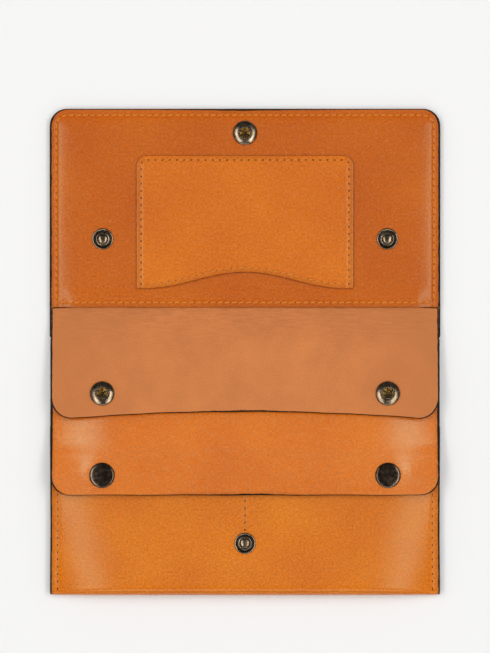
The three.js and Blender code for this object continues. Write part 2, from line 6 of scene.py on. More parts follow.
import bpy
import numpy as np
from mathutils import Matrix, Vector


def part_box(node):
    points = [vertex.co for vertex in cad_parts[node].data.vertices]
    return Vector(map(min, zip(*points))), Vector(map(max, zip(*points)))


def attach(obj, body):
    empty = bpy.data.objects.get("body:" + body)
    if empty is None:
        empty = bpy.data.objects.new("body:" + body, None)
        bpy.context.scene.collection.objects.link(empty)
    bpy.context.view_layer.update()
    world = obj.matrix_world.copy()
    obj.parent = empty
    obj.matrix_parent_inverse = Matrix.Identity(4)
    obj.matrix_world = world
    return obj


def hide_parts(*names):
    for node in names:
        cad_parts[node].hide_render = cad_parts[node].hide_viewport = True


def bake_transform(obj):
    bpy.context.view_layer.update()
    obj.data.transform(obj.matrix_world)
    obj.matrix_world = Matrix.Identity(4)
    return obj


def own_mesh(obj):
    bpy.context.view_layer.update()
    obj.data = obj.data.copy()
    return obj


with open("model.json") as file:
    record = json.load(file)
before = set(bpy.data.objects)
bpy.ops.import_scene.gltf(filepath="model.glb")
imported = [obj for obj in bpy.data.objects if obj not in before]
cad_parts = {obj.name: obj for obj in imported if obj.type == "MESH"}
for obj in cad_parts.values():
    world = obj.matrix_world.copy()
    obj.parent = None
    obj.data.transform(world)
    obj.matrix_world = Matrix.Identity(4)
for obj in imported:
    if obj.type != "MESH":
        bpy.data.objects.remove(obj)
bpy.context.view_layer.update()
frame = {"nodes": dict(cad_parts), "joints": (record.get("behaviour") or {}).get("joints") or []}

MM = 0.001
TEXTURE_UNIT = 10.0  # a texture coordinate of 1 is one centimetre of leather


# ---------------------------------------------------------------- places from the frame


def box_mm(node):
    low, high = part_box(node)
    return np.array(low) / MM, np.array(high) / MM


def centre_mm(node):
    low, high = box_mm(node)
    return (low + high) / 2


def joint_mm(name):
    joint = next(j for j in frame["joints"] if j["name"] == name)
    return np.array(joint["pos_m"]) / MM


COVER_LOW, COVER_HIGH = box_mm("cover_panel")
LINING_LOW = box_mm("cover_lining")[0]
PATCH_LOW, PATCH_HIGH = box_mm("card_patch")
POUCH_LOW, POUCH_HIGH = box_mm("pouch_shell")
FLAP_LOW, FLAP_HIGH = box_mm("pouch_flap")
FLAP_TAB_LOW, FLAP_TAB_HIGH = box_mm("pouch_flap_tab")
CARD_HIGH = box_mm("card_flap")[1]
CARD_TAB_LOW, CARD_TAB_HIGH = box_mm("card_flap_tab")
SLIP_LOW, SLIP_HIGH = box_mm("card_slip")
SPINE_CREASE = joint_mm("spine_fold")
COVER_CREASE = joint_mm("cover_fold")
CARD_HINGE = joint_mm("card_flap_tuck")
FLAP_HINGE = joint_mm("pouch_flap_open")

OUTER = COVER_HIGH[2] - COVER_LOW[2]  # thickness of the outer leather
LINING = 1.3
FLAP = 1.4
PATCH = PATCH_HIGH[2] - PATCH_LOW[2]
SLIP = 0.8
LINING_TOP = PATCH_LOW[2] - 0.05

COVER_RADIUS = 8.3
COVER_SEAM = 3.3
PATCH_RADIUS = 5.0
PATCH_SEAM = 2.4
MOUTH_RISE = 8.2
MOUTH_HALF_WIDTH = 50.0
CARD_RADIUS = 10.5
FLAP_RADIUS = 8.8
SIDE_SEAM = centre_mm("side_thread_right")[0]
PITCH = 3.55  # from one awl hole to the next


# ---------------------------------------------------------------- small maths


def smooth(start, end, x):
    t = np.clip((x - start) / (end - start), 0, 1)
    return t * t * (3 - 2 * t)


def mix(a, b, t):
    return a + (b - a) * t


def bell(x, width):
    return np.exp(-((x / width) ** 2))


def ripple(x, y, seed):
    """A gentle unevenness of about -1 to 1 that never repeats over the wallet."""
    a = np.sin(x / 17.3 + 1.7 * seed) * np.cos(y / 13.1 + 0.9 * seed)
    b = np.sin(x / 7.9 - y / 11.7 + 2.3 * seed)
    c = np.cos(x / 31.0 + y / 23.0 + 3.1 * seed)
    return (a + 0.45 * b + 0.8 * c) / 2.0


def corner_inset(from_edge, radius):
    """How far a rounded corner draws the side in, at a distance from the end edge."""
    short = np.clip(radius - from_edge, 0, radius)
    return radius - np.sqrt(radius**2 - short**2)


def rounded_distance(to_side, to_end, radius):
    """Distance in from an outline whose corners are rounded."""
    straight = np.minimum(to_side, to_end)
    in_corner = (to_side < radius) & (to_end < radius)
    round_part = radius - np.hypot(radius - to_side, radius - to_end)
    return np.where(in_corner, round_part, straight)


def settle(z, x, y, places, level, reach=8.0):
    """Presses a surface to a level around each snap."""
    for px, py in places:
        r = np.hypot(x - px, y - py)
        z = mix(z, level, np.exp(-((r / reach) ** 4)))
    return z


EDGE_STEPS = np.array([0.0, 0.3, 0.65, 1.05, 1.5, 2.0, 2.5, 3.0, 3.5, 4.0, 4.6, 5.3, 6.1, 7.0, 8.0])


def spaced(low, high, step=1.25, fine_low=True, fine_high=True):
    """Values from low to high, closer together towards the fine ends."""
    start = low + EDGE_STEPS if fine_low else np.array([low])
    end = high - EDGE_STEPS[::-1] if fine_high else np.array([high])
    count = max(2, int(round((end[0] - start[-1]) / step)) + 1)
    middle = np.linspace(start[-1], end[0], count)[1:-1]
    return np.concatenate([start, middle, end])


def corner_rows(edge, radius, inward, steps=14):
    """Rows from a rounded edge inwards to the end of its corners."""
    turn = np.linspace(0, math.pi / 2, steps + 1)
    return edge + inward * radius * (1 - np.cos(turn))


# ---------------------------------------------------------------- meshes


def make_object(name, vertices, faces, materials, indices=None):
    mesh = bpy.data.meshes.new(name)
    mesh.from_pydata((np.asarray(vertices) * MM).tolist(), [], faces)
    for material in materials:
        mesh.materials.append(material)
    if indices is not None:
        mesh.polygons.foreach_set("material_index", indices)
    mesh.polygons.foreach_set("use_smooth", [True] * len(mesh.polygons))
    piece = bpy.data.objects.new(name, mesh)
    bpy.context.scene.collection.objects.link(piece)
    mesh.update()
    return piece


def grid_normals(mid):
    across = np.gradient(mid, axis=1)
    along = np.gradient(mid, axis=0)
    normal = np.cross(across, along)
    return normal / np.linalg.norm(normal, axis=2, keepdims=True)


def run_lengths(mid, axis):
    """Distance walked along the grid lines from the first and from the last of them."""
    steps = np.linalg.norm(np.diff(mid, axis=axis), axis=2)
    pad = [(0, 0), (0, 0)]
    pad[axis] = (1, 0)
    walked = np.cumsum(np.pad(steps, pad), axis=axis)
    total = np.take(walked, [-1], axis=axis)
    return walked, total - walked


def edge_distances(mid, cut):
    """Distance from every grid point to the nearest edge that isn't a cut."""
    from_start, from_end = run_lengths(mid, 0)
    from_left, from_right = run_lengths(mid, 1)
    sides = {"start": from_start, "end": from_end, "left": from_left, "right": from_right}
    kept = [distance for side, distance in sides.items() if side not in cut]
    return np.minimum.reduce(kept)


EDGE_TURNS = np.radians([28, 55, 90, 125, 152])


def leather_sheet(name, mid, thickness, finishes, coordinates=None, cut=(), bulge=0.3):
    """A closed sheet of leather around a grid of middle points, with rounded edges.

    finishes are the materials of the face that the grid's normals point to, of the other face, and
    of the edge. A fourth finish is for the edge at the first row. A side named in cut is left square,
    because another piece goes on from there. The thickness may be one number, or one for each row.
    """
    rows, columns = mid.shape[:2]
    normal = grid_normals(mid)
    half = np.repeat(np.broadcast_to(thickness, rows)[:, None] / 2, columns, axis=1)
    upper = (mid + normal * half[..., None]).reshape(-1, 3)
    lower = (mid - normal * half[..., None]).reshape(-1, 3)
    index = np.arange(rows * columns).reshape(rows, columns)
    loop = np.concatenate([index[0, :-1], index[:-1, -1], index[-1, :0:-1], index[:0:-1, 0]])
    side_of = ["start"] * (columns - 1) + ["right"] * (rows - 1)
    side_of += ["end"] * (columns - 1) + ["left"] * (rows - 1)
    flat_mid = mid.reshape(-1, 3)
    flat_normal = normal.reshape(-1, 3)
    ring_mid = flat_mid[loop]
    tangent = np.roll(ring_mid, -1, axis=0) - np.roll(ring_mid, 1, axis=0)
    outward = np.cross(tangent, flat_normal[loop])
    outward /= np.linalg.norm(outward, axis=1, keepdims=True)
    is_cut = np.array([side in cut for side in side_of])
    touches_cut = is_cut | np.roll(is_cut, 1)
    out = np.where(touches_cut, 0.0, bulge)[:, None]
    ring_half = half.reshape(-1)[loop][:, None]
    rings = []
    for turn in EDGE_TURNS:
        height = math.copysign(abs(math.cos(turn)) ** 0.75, math.cos(turn)) * ring_half
        rings.append(ring_mid + flat_normal[loop] * height + outward * out * math.sin(turn))
    vertices = np.concatenate([upper, lower] + rings)
    count = rows * columns
    faces, indices = [], []
    a, b = index[:-1, :-1].ravel(), index[:-1, 1:].ravel()
    c, d = index[1:, 1:].ravel(), index[1:, :-1].ravel()
    faces += np.stack([a, b, c, d], axis=1).tolist()
    faces += (np.stack([d, c, b, a], axis=1) + count).tolist()
    indices += [0] * len(a) + [1] * len(a)
    size = len(loop)
    levels = [loop] + [2 * count + k * size + np.arange(size) for k in range(len(rings))] + [loop + count]
    for above, below in zip(levels[:-1], levels[1:]):
        strip = np.stack([above, below, np.roll(below, -1), np.roll(above, -1)], axis=1)
        faces += strip.tolist()
        indices += [3 if side == "start" and len(finishes) > 3 else 2 for side in side_of]
    piece = make_object(name, vertices, faces, finishes, indices)

    unpainted = cut + ("start",) if len(finishes) > 3 else cut
    ring_edge = np.zeros(size * len(rings))
    for attribute_name, left_out in (("edge", cut), ("painted_edge", unpainted)):
        edge = edge_distances(mid, left_out).ravel()
        attribute = piece.data.attributes.new(attribute_name, "FLOAT", "POINT")
        attribute.data.foreach_set("value", np.concatenate([edge, edge, ring_edge]).astype(np.float32))
    flat = (mid[..., :2] if coordinates is None else coordinates).reshape(-1, 2) / TEXTURE_UNIT
    all_flat = np.concatenate([flat, flat] + [flat[loop]] * len(rings))
    corners = np.zeros(len(piece.data.loops), np.int32)
    piece.data.loops.foreach_get("vertex_index", corners)
    layer = piece.data.uv_layers.new(name="leather")
    layer.data.foreach_set("uv", all_flat[corners].astype(np.float32).ravel())
    if cut:
        mark_cut_edges(piece, loop, is_cut, count)
    return piece


def mark_cut_edges(piece, loop, is_cut, count):
    """Keeps the shading of the faces apart from that of the square cut."""
    following = np.roll(loop, -1)
    sharp = set()
    for here, there, cut in zip(loop.tolist(), following.tolist(), is_cut.tolist()):
        if cut:
            sharp.add((min(here, there), max(here, there)))
            sharp.add((min(here, there) + count, max(here, there) + count))
    for edge in piece.data.edges:
        if tuple(sorted(edge.vertices)) in sharp:
            edge.use_edge_sharp = True


TURNED_SEGMENTS = 72


def tilted(points, turn, place):
    """Points turned about the X axis by an angle, then moved to a place."""
    c, s = math.cos(turn), math.sin(turn)
    y = points[:, 1] * c - points[:, 2] * s
    z = points[:, 1] * s + points[:, 2] * c
    return np.column_stack([points[:, 0], y, z]) + np.asarray(place)


def turned(name, profile, centre, turn, materials, bands=None):
    """A turned piece, from a profile that is a list of (radius, height).

    turn is the tilt of its axis about X, in radians. bands gives the material of each step of the
    profile.
    """
    profile = np.array(profile, float)
    segments = TURNED_SEGMENTS
    angles = np.linspace(0, 2 * math.pi, segments, endpoint=False)
    rings = []
    for radius, height in profile:
        if radius == 0:
            rings.append(np.array([[0, 0, height]]))
        else:
            circle = np.stack([radius * np.cos(angles), radius * np.sin(angles)], axis=1)
            rings.append(np.column_stack([circle, np.full(segments, height)]))
    starts = np.cumsum([0] + [len(ring) for ring in rings])
    faces, indices = [], []
    for k in range(len(rings) - 1):
        band = 0 if bands is None else bands[k]
        for i in range(segments):
            j = (i + 1) % segments
            if len(rings[k]) == 1:
                face = [starts[k], starts[k + 1] + j, starts[k + 1] + i]
            elif len(rings[k + 1]) == 1:
                face = [starts[k] + i, starts[k] + j, starts[k + 1]]
            else:
                face = [starts[k] + i, starts[k] + j, starts[k + 1] + j, starts[k + 1] + i]
            faces.append([int(v) for v in face])
            indices.append(band)
    points = tilted(np.concatenate(rings), turn, centre)
    return make_object(name, points, faces, materials, indices)


def rounded_profile(points, steps=5):
    """Rounds a turned profile: each corner becomes a short curve between the middles of its two sides."""
    points = [np.array(p, float) for p in points]
    out = [points[0]]
    for before, here, after in zip(points[:-2], points[1:-1], points[2:]):
        reach = 0.32 * min(np.linalg.norm(before - here), np.linalg.norm(after - here))
        a = here + (before - here) / np.linalg.norm(before - here) * reach
        b = here + (after - here) / np.linalg.norm(after - here) * reach
        for t in np.linspace(0, 1, steps):
            out.append((1 - t) ** 2 * a + 2 * t * (1 - t) * here + t**2 * b)
    out.append(points[-1])
    return out


# ---------------------------------------------------------------- materials


class Shader:
    """A short way to write a node tree."""

    def __init__(self, name):
        self.material = bpy.data.materials.new(name)
        self.material.use_nodes = True
        self.tree = self.material.node_tree
        self.tree.nodes.clear()
        self.surface = self.node("ShaderNodeBsdfPrincipled")
        output = self.node("ShaderNodeOutputMaterial")
        self.link(self.surface, "BSDF", output, "Surface")

    def node(self, kind, **values):
        node = self.tree.nodes.new(kind)
        for key, value in values.items():
            setattr(node, key, value)
        return node

    def link(self, source, output, target, name):
        self.tree.links.new(source.outputs[output], target.inputs[name])

    def put(self, target, name, value):
        """Sets an input to a number or colour, or links it to a (node, output) pair."""
        if isinstance(value, tuple) and hasattr(value[0], "outputs"):
            self.tree.links.new(value[0].outputs[value[1]], target.inputs[name])
        else:
            target.inputs[name].default_value = value

    def coordinates(self, stretch=(1, 1, 1)):
        uv = self.node("ShaderNodeUVMap", uv_map="leather")
        mapping = self.node("ShaderNodeMapping")
        mapping.inputs["Scale"].default_value = stretch
        self.link(uv, "UV", mapping, "Vector")
        return mapping

    def solid_coordinates(self):
        return self.node("ShaderNodeTexCoord"), "Object"

    def noise(self, vector, scale, detail=2.0, roughness=0.5):
        noise = self.node("ShaderNodeTexNoise")
        self.put(noise, "Vector", vector)
        noise.inputs["Scale"].default_value = scale
        noise.inputs["Detail"].default_value = detail
        noise.inputs["Roughness"].default_value = roughness
        return noise, "Fac"

    def cells(self, vector, scale):
        cells = self.node("ShaderNodeTexVoronoi")
        self.put(cells, "Vector", vector)
        cells.inputs["Scale"].default_value = scale
        return cells, "Distance"

    def span(self, value, low, high, to_low, to_high):
        node = self.node("ShaderNodeMapRange")
        self.put(node, "Value", value)
        for name, number in zip(("From Min", "From Max", "To Min", "To Max"), (low, high, to_low, to_high)):
            node.inputs[name].default_value = number
        return node, "Result"

    def maths(self, operation, a, b):
        node = self.node("ShaderNodeMath", operation=operation)
        for socket, value in zip(node.inputs, (a, b)):
            if isinstance(value, tuple):
                self.tree.links.new(value[0].outputs[value[1]], socket)
            else:
                socket.default_value = value
        return node, "Value"

    def blend(self, factor, a, b, mode="MIX"):
        node = self.node("ShaderNodeMix", data_type="RGBA", blend_type=mode)
        sockets = {"Factor_Float": factor, "A_Color": a, "B_Color": b}
        for socket in node.inputs:
            if socket.identifier in sockets:
                value = sockets[socket.identifier]
                if isinstance(value, tuple) and hasattr(value[0], "outputs"):
                    self.tree.links.new(self.output(value), socket)
                else:
                    socket.default_value = value
        return node, "Result"

    def output(self, value):
        node, name = value
        if node.bl_idname == "ShaderNodeMix":
            return next(o for o in node.outputs if o.identifier == "Result_Color")
        return node.outputs[name]

    def grey(self, value):
        """A colour whose three channels all follow one value."""
        colour = self.node("ShaderNodeCombineColor")
        for channel in ("Red", "Green", "Blue"):
            self.put(colour, channel, value)
        return colour, "Color"

    def colour(self, value):
        self.tree.links.new(self.output(value), self.surface.inputs["Base Color"])

    def bump(self, height, distance):
        bump = self.node("ShaderNodeBump")
        bump.inputs["Distance"].default_value = distance * MM
        self.put(bump, "Height", height)
        self.link(bump, "Normal", self.surface, "Normal")


def rgba(colour, factor=1.0):
    return tuple(c * factor for c in colour) + (1.0,)


PAINT = (0.013, 0.008, 0.004)
SHEEN = (0.45, 1.0, 0.72, 1.0)


def grain_leather(name, colour, roughness, shine, painted, edge_tone=0.72):
    """Smooth, finely pebbled grain side, darker by patches and towards its burnished edges."""
    s = Shader(name)
    place = s.coordinates(), "Vector"
    patches = s.span(s.noise(place, 0.22, 3), 0.3, 0.7, 0.0, 1.0)
    dark = (colour[0] * 0.93, colour[1] * 0.86, colour[2])
    light = (colour[0] * 1.05, colour[1] * 1.14, colour[2])
    toned = s.blend(patches, rgba(dark), rgba(light))
    speckle = s.span(s.noise(place, 10.0, 5, 0.78), 0.36, 0.64, 0.70, 1.20)
    grey = s.node("ShaderNodeCombineColor")
    for channel, power in zip(("Red", "Green", "Blue"), (1.0, 1.25, 1.35)):
        s.put(grey, channel, s.maths("POWER", speckle, power))
    speckled = s.blend(1.0, toned, (grey, "Color"), "MULTIPLY")
    edge = s.node("ShaderNodeAttribute", attribute_name="edge")
    burnish = s.span((edge, "Fac"), 0.2, 2.2, edge_tone, 1.0)
    burnished = s.blend(1.0, speckled, s.grey(burnish), "MULTIPLY")
    if painted:
        rim = s.node("ShaderNodeAttribute", attribute_name="painted_edge")
        wobble = s.span(s.noise(place, 2.2, 3), 0.3, 0.7, 0.32, 0.62)
        reach = s.maths("SUBTRACT", (rim, "Fac"), wobble)
        paint = s.span(reach, 0.0, 0.14, 1.0, 0.0)
        s.colour(s.blend(paint, burnished, rgba(PAINT)))
        bare = s.maths("SUBTRACT", 1.0, paint)
        s.put(s.surface, "Specular IOR Level", s.maths("MULTIPLY", bare, shine))
    else:
        s.colour(burnished)
        s.surface.inputs["Specular IOR Level"].default_value = shine
    rough = s.span(s.noise(place, 3.0, 3), 0.3, 0.7, roughness - 0.04, roughness + 0.05)
    s.put(s.surface, "Roughness", rough)
    s.surface.inputs["Specular Tint"].default_value = SHEEN
    pebbles = s.span(s.cells(place, 15.0), 0.0, 0.6, 1.0, 0.0)
    fine = s.noise(place, 34.0, 3, 0.6)
    height = s.maths("ADD", s.maths("MULTIPLY", pebbles, 0.55), s.maths("MULTIPLY", fine, 0.45))
    s.bump(height, 0.028)
    return s.material


def flesh_leather(name, colour, creased):
    """Matt flesh side with a short nap, and creases along the bend where it is folded often."""
    s = Shader(name)
    place = s.coordinates(), "Vector"
    clouds = s.span(s.noise(place, 0.5, 4, 0.6), 0.3, 0.7, 0.0, 1.0)
    toned = s.blend(clouds, rgba(colour, 0.9), rgba(colour, 1.08))
    nap = s.span(s.noise(place, 15.0, 5, 0.7), 0.35, 0.65, 0.88, 1.1)
    shaded = s.blend(1.0, toned, s.grey(nap), "MULTIPLY")
    fibres = s.noise(place, 26.0, 5, 0.7)
    height = s.maths("MULTIPLY", fibres, 0.5)
    edge = s.node("ShaderNodeAttribute", attribute_name="edge")
    if creased:
        long = s.coordinates((0.16, 1.0, 1.0)), "Vector"
        streaks = s.noise(long, 8.5, 5, 0.66)
        uv = s.node("ShaderNodeUVMap", uv_map="leather")
        parts = s.node("ShaderNodeSeparateXYZ")
        s.link(uv, "UV", parts, "Vector")
        near_bend = s.span((parts, "Y"), -0.9, 1.3, 0.0, 1.0)
        dark = s.span(streaks, 0.40, 0.60, 0.0, 1.0)
        cover = s.maths("MULTIPLY", s.maths("MULTIPLY", dark, near_bend), 0.34)
        shaded = s.blend(cover, shaded, rgba((colour[0] * 0.56, colour[1] * 0.47, colour[2] * 0.4)))
        raised = s.maths("MULTIPLY", s.maths("MULTIPLY", streaks, near_bend), 1.6)
        height = s.maths("ADD", height, raised)
        # Painted shade: the flesh is made up to about a tenth darker towards the left and right sides of the
        # flap, where it hangs down away from the light.
        side_shade = s.span(s.maths("ABSOLUTE", (parts, "X"), 0.0), 4.0, 9.0, 0.0, 0.5)
        shaded = s.blend(side_shade, shaded, rgba(colour, 0.8))
    wobble = s.span(s.noise(place, 3.0, 3), 0.3, 0.7, 0.22, 0.55)
    paint = s.span(s.maths("SUBTRACT", (edge, "Fac"), wobble), 0.0, 0.14, 1.0, 0.0)
    s.colour(s.blend(paint, shaded, rgba(PAINT)))
    s.surface.inputs["Roughness"].default_value = 0.82
    s.surface.inputs["Specular IOR Level"].default_value = 0.3
    s.surface.inputs["Sheen Weight"].default_value = 0.12
    s.surface.inputs["Sheen Roughness"].default_value = 0.6
    s.bump(height, 0.09)
    return s.material


def edge_paint(name, colour, roughness=0.42):
    """Painted and rubbed cut edge, slightly uneven. Also used for the near-black painted shade of the awl
    holes.
    """
    s = Shader(name)
    place = s.solid_coordinates()
    worn = s.span(s.noise(place, 420.0, 3), 0.35, 0.75, 0.0, 1.0)
    s.colour(s.blend(worn, rgba(colour), rgba((colour[0] * 2.4, colour[1] * 2.1, colour[2] * 1.9))))
    s.surface.inputs["Roughness"].default_value = roughness
    s.surface.inputs["Specular IOR Level"].default_value = 0.06
    s.bump(s.noise(place, 900.0, 3), 0.06)
    return s.material


def thread_material(name, colour):
    """Twisted, waxed thread."""
    s = Shader(name)
    place = s.solid_coordinates()
    fibre = s.noise(place, 2600.0, 3, 0.7)
    fuzz = s.span(fibre, 0.3, 0.7, 0.0, 1.0)
    s.colour(s.blend(fuzz, rgba(colour, 0.82), rgba(colour, 1.12)))
    s.surface.inputs["Roughness"].default_value = 0.6
    s.surface.inputs["Specular IOR Level"].default_value = 0.2
    s.bump(fibre, 0.08)
    return s.material


def metal(name, colour, worn_colour, roughness):
    """Plated metal, blotchy where the plating is rubbed."""
    s = Shader(name)
    place = s.solid_coordinates()
    blotch = s.span(s.noise(place, 210.0, 5, 0.65), 0.35, 0.72, 0.0, 1.0)
    s.colour(s.blend(blotch, rgba(colour), rgba(worn_colour)))
    s.surface.inputs["Metallic"].default_value = 1.0
    rubbed = s.span(s.noise(place, 520.0, 4), 0.3, 0.7, roughness - 0.07, roughness + 0.1)
    s.put(s.surface, "Roughness", rubbed)
    s.bump(s.noise(place, 700.0, 4), 0.03)
    return s.material


def fibre_board(name):
    s = Shader(name)
    place = s.solid_coordinates()
    fibres = s.noise(place, 900.0, 6, 0.75)
    s.colour(s.blend(s.span(fibres, 0.3, 0.7, 0.0, 1.0), rgba((0.16, 0.11, 0.07)), rgba((0.3, 0.22, 0.15))))
    s.surface.inputs["Roughness"].default_value = 0.95
    s.bump(fibres, 0.15)
    return s.material


GRAIN = grain_leather("grain_leather", (0.745, 0.158, 0.0012), 0.245, 1.0, True)
OUTER_GRAIN = grain_leather("outer_grain_leather", (0.700, 0.172, 0.0065), 0.24, 0.4, True)
LINING_SKIN = grain_leather("lining_leather", (0.565, 0.108, 0.0025), 0.24, 0.45, True, 0.85)
PATCH_SKIN = grain_leather("patch_leather", (0.675, 0.150, 0.0040), 0.25, 0.4, False, 0.82)
FLESH = flesh_leather("flesh_leather", (0.585, 0.192, 0.052), True)
PLAIN_FLESH = flesh_leather("plain_flesh_leather", (0.470, 0.160, 0.045), False)
DARK_EDGE = edge_paint("painted_edge", PAINT)
TAN_EDGE = edge_paint("burnished_edge", (0.22, 0.055, 0.008), 0.5)
THREAD = thread_material("tan_thread", (0.66, 0.205, 0.026))
# Near-black colour for the beads at the awl holes: painted shade standing in for the depth of each hole.
HOLE_SHADE = edge_paint("awl_hole_painted_shade", (0.012, 0.004, 0.002), 0.9)
CAP_BRONZE = metal("cap_bronze", (0.115, 0.078, 0.054), (0.21, 0.15, 0.105), 0.2)
BRONZE = metal("antique_bronze", (0.21, 0.155, 0.10), (0.52, 0.40, 0.27), 0.24)
DARK_METAL = metal("dark_bronze", (0.030, 0.023, 0.018), (0.10, 0.075, 0.052), 0.4)
BRASS = metal("brass", (0.42, 0.22, 0.035), (0.20, 0.10, 0.02), 0.3)
BOARD = fibre_board("fibre_board")


# ---------------------------------------------------------------- surfaces of the leather


COVER_TOP = COVER_HIGH[1]
LINING_FOOT = LINING_LOW[1]
CARD_TAB_END = CARD_TAB_HIGH[1]
FOOT_SEAM = centre_mm("lining_foot_thread")[1]
COVER_STUDS = [centre_mm("cover_stud_left")[:2], centre_mm("cover_stud_right")[:2]]
COVER_SOCKET = centre_mm("cover_socket")[:2]
LINING_RIM = box_mm("cover_edge_thread")[0][2] - 0.05
FOOT_TOP = box_mm("lining_foot_thread")[0][2] - 0.05


def cover_inset(x, y):
    return rounded_distance(COVER_HIGH[0] - np.abs(x), COVER_TOP - y, COVER_RADIUS)


def lining_top(x, y):
    """The lining is pulled down at its seams and stands up in a soft shoulder inside them."""
    inset = cover_inset(x, y)
    crown = 1 - np.exp(-np.maximum(inset - 3.6, 0) / 5.2)
    z = mix(LINING_RIM, LINING_TOP + 0.3, crown)
    z = z - 0.3 * smooth(12, 30, inset)
    z = z - 0.32 * bell(inset - COVER_SEAM, 0.85)
    over_tab = 1 - smooth(CARD_TAB_END, CARD_TAB_END + 7, y)
    z = z + (FOOT_TOP - LINING_TOP) * over_tab * smooth(5, 12, inset)
    z = z - 0.28 * bell(y - FOOT_SEAM, 0.85) * smooth(3, 6, inset)
    apart = smooth(PATCH_HIGH[0], PATCH_HIGH[0] + 12, np.abs(x))
    z = z + 0.16 * ripple(x, y, 1) * crown * apart
    z = settle(z, x, y, COVER_STUDS, LINING_TOP)
    return settle(z, x, y, [COVER_SOCKET], LINING_TOP)


def mouth_edge(x):
    phase = np.minimum(np.abs(x) / MOUTH_HALF_WIDTH, 1) * math.pi
    return PATCH_LOW[1] + MOUTH_RISE * (1 + np.cos(phase)) / 2


def patch_top(x, y):
    to_side = PATCH_HIGH[0] - np.abs(x)
    inset = rounded_distance(to_side, PATCH_HIGH[1] - y, PATCH_RADIUS)
    from_mouth = y - mouth_edge(x)
    z = lining_top(x, y) + 0.05 + PATCH
    z = z + 0.35 * smooth(2.5, 22, inset) * (1 - 0.5 * smooth(10, 45, from_mouth))
    z = z - 0.26 * bell(inset - PATCH_SEAM, 0.8) - 0.22 * (1 - smooth(0, 1.6, inset))
    z = z - 0.1 * bell(from_mouth - PATCH_SEAM, 0.6) * smooth(4, 7, inset)
    return z + 0.06 * ripple(1.6 * x, 1.4 * y, 5) * smooth(3, 10, inset)


FRONT_SNAP = box_mm("front_stud_left")[0][2] - 0.05
FRONT_STUD = box_mm("front_stud_center")[0][2] - 0.05
FRONT_RIM = box_mm("side_thread_right")[0][2] - 0.05
FRONT_MOUTH = 6.6  # height of the pouch front at its mouth
FRONT_TOP_Y = box_mm("center_thread")[1][1] + 1.5
POUCH_BOTTOM = POUCH_LOW[1]
POUCH_DEPTH = POUCH_HIGH[2]
SNAP_Y = centre_mm("front_stud_left")[1]
STUD_Y = centre_mm("front_stud_center")[1]
FRONT_STUDS = [centre_mm("front_stud_left")[:2], centre_mm("front_stud_right")[:2]]


def fullness(x):
    """1 over the middle of the pouch, falling faster and faster towards its side seams."""
    return 1 - np.clip((np.abs(x) - 56) / 36.5, 0, 1) ** 2.2


def front_middle(y):
    z = FRONT_MOUTH + (FRONT_SNAP - FRONT_MOUTH) * smooth(-FRONT_TOP_Y, -SNAP_Y - 6, -y)
    z = z + (FRONT_STUD - FRONT_SNAP) * smooth(-SNAP_Y + 2, -STUD_Y + 2, -y)
    return z + (POUCH_DEPTH - FRONT_STUD) * smooth(-STUD_Y, -POUCH_BOTTOM - 5, -y)


def front_top(x, y):
    z = mix(FRONT_RIM, front_middle(y), fullness(x))
    z = z + 0.18 * ripple(1.3 * x, 1.1 * y, 3) * fullness(x) * smooth(POUCH_BOTTOM + 6, POUCH_BOTTOM + 14, y)
    z = z - 0.3 * bell(np.abs(x) - SIDE_SEAM, 0.85)
    z = z - 0.2 * bell(x, 0.9) * smooth(STUD_Y + 4, STUD_Y + 8, y)
    z = settle(z, x, y, FRONT_STUDS, FRONT_SNAP)
    return settle(z, x, y, [(0.0, STUD_Y)], FRONT_STUD)


FLAP_TOP = FLAP_HIGH[2]
FLAP_LEVEL_Y = -58.4  # the pouch flap is level from here to its free edge
FLAP_ROOT_Z = 3.85
FLAP_LOWEST = 4.75  # the lowest that its hanging sides may come
FLAP_CAPS = [centre_mm("pouch_flap_cap_left")[:2], centre_mm("pouch_flap_cap_right")[:2]]


def flap_top(x, y):
    """The pouch flap rises from its root over the pouch and hangs down a little at its sides."""
    left = np.clip((y - FLAP_LEVEL_Y) / (FLAP_HINGE[1] - FLAP_LEVEL_Y), 0, 1)
    z = FLAP_TOP - (FLAP_TOP - FLAP_ROOT_Z) * left**1.2
    free = 1 - smooth(-38, -22, y)
    hang = 0.7 + 3.4 * smooth(-72, -52, y)
    sag = hang * free * smooth(60, 98, np.abs(x)) ** 1.15
    z = z - np.minimum(sag, np.maximum(z - FLAP_LOWEST, 0))
    z = z + 0.16 * ripple(x, 1.2 * y, 7) * free
    return settle(z, x, y, FLAP_CAPS, FLAP_TOP, 9.0)


CARD_TURN = math.radians(170.9)
CARD_SLOPE = math.tan(math.pi - CARD_TURN)
CARD_TAB_MID = (CARD_TAB_LOW[2] + CARD_TAB_HIGH[2]) / 2
CARD_REACH = COVER_STUDS[0][1] - CARD_HINGE[1]  # from the hinge to the snaps
CARD_FLESH = LINING_TOP + 2.6 - CARD_HINGE[2]
CARD_CENTRE_EDGE = -36.9  # Y of the card flap's free edge in the middle
CARD_CORNER_EDGE = -40.1  # and near its corners
TAB_BEND = 2.2  # how far it curves on each side of the line where it starts to rise


def card_place(reach, height):
    """A point of the flap at rest, from its distance beyond the hinge and its height when it is tucked in."""
    y = CARD_HINGE[1] + reach * math.cos(CARD_TURN) - height * math.sin(CARD_TURN)
    z = CARD_HINGE[2] + reach * math.sin(CARD_TURN) + height * math.cos(CARD_TURN)
    return y, z


CARD_SNAP_Y, CARD_SNAP_Z = card_place(CARD_REACH, CARD_FLESH + FLAP / 2)
CARD_SNAPS = [(COVER_STUDS[0][0], CARD_SNAP_Y), (COVER_STUDS[1][0], CARD_SNAP_Y)]


def card_edge(x):
    """The free edge of the card flap is a shallow hollow curve."""
    drop = (CARD_CORNER_EDGE - CARD_CENTRE_EDGE) * (x / 84.0) ** 2
    return CARD_CENTRE_EDGE + drop + 0.12 * np.sin(x / 5.3) * np.cos(x / 12.7)


